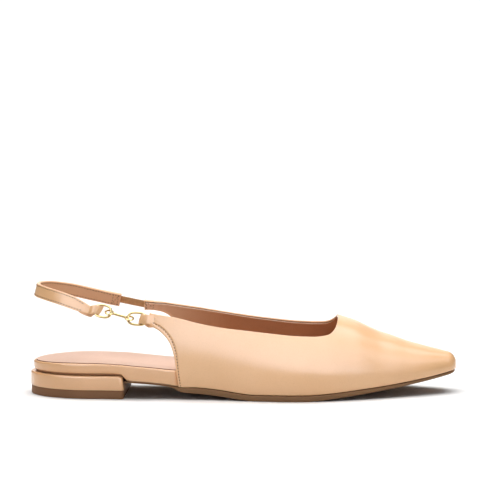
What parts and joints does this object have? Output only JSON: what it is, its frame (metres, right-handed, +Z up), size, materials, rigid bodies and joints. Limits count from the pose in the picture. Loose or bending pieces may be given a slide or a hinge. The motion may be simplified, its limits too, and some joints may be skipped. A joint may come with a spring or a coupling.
{
  "type": "sling back flat shoe",
  "caption": "Women's right sling back flat with narrow squared toe, deep throat, leather covered footbed and low heel, and a heel strap held by a small snaffle link and elastic.",
  "frame": {"origin": "on the floor under the middle of the heel, on the flat underside of the heel top piece", "axes": "+X from heel to toe, +Y towards the inner side of the foot, +Z up"},
  "size_m": [0.2634, 0.0779, 0.0682],
  "materials": {
    "upper_leather": "smooth semi gloss calf",
    "footbed_leather": "smooth semi gloss calf",
    "sock_leather": "matt sheep lining",
    "sole_rubber": "moulded satin",
    "heel_leather": "smooth semi gloss calf",
    "top_piece_rubber": "moulded satin",
    "strap_leather": "smooth semi gloss calf",
    "elastic_webbing": "ribbed woven elastic",
    "link_metal": "polished pale gold plating"
  },
  "bodies": {
    "root": {"upper": "upper_leather", "footbed": "footbed_leather", "insole_sock": "sock_leather", "outsole": "sole_rubber", "heel_block": "heel_leather", "heel_top_piece": "top_piece_rubber", "sling_strap": "strap_leather", "elastic_gore": "elastic_webbing", "front_ring": "link_metal", "rear_ring": "link_metal", "bit_bar": "link_metal"}
  },
  "joints": []
}
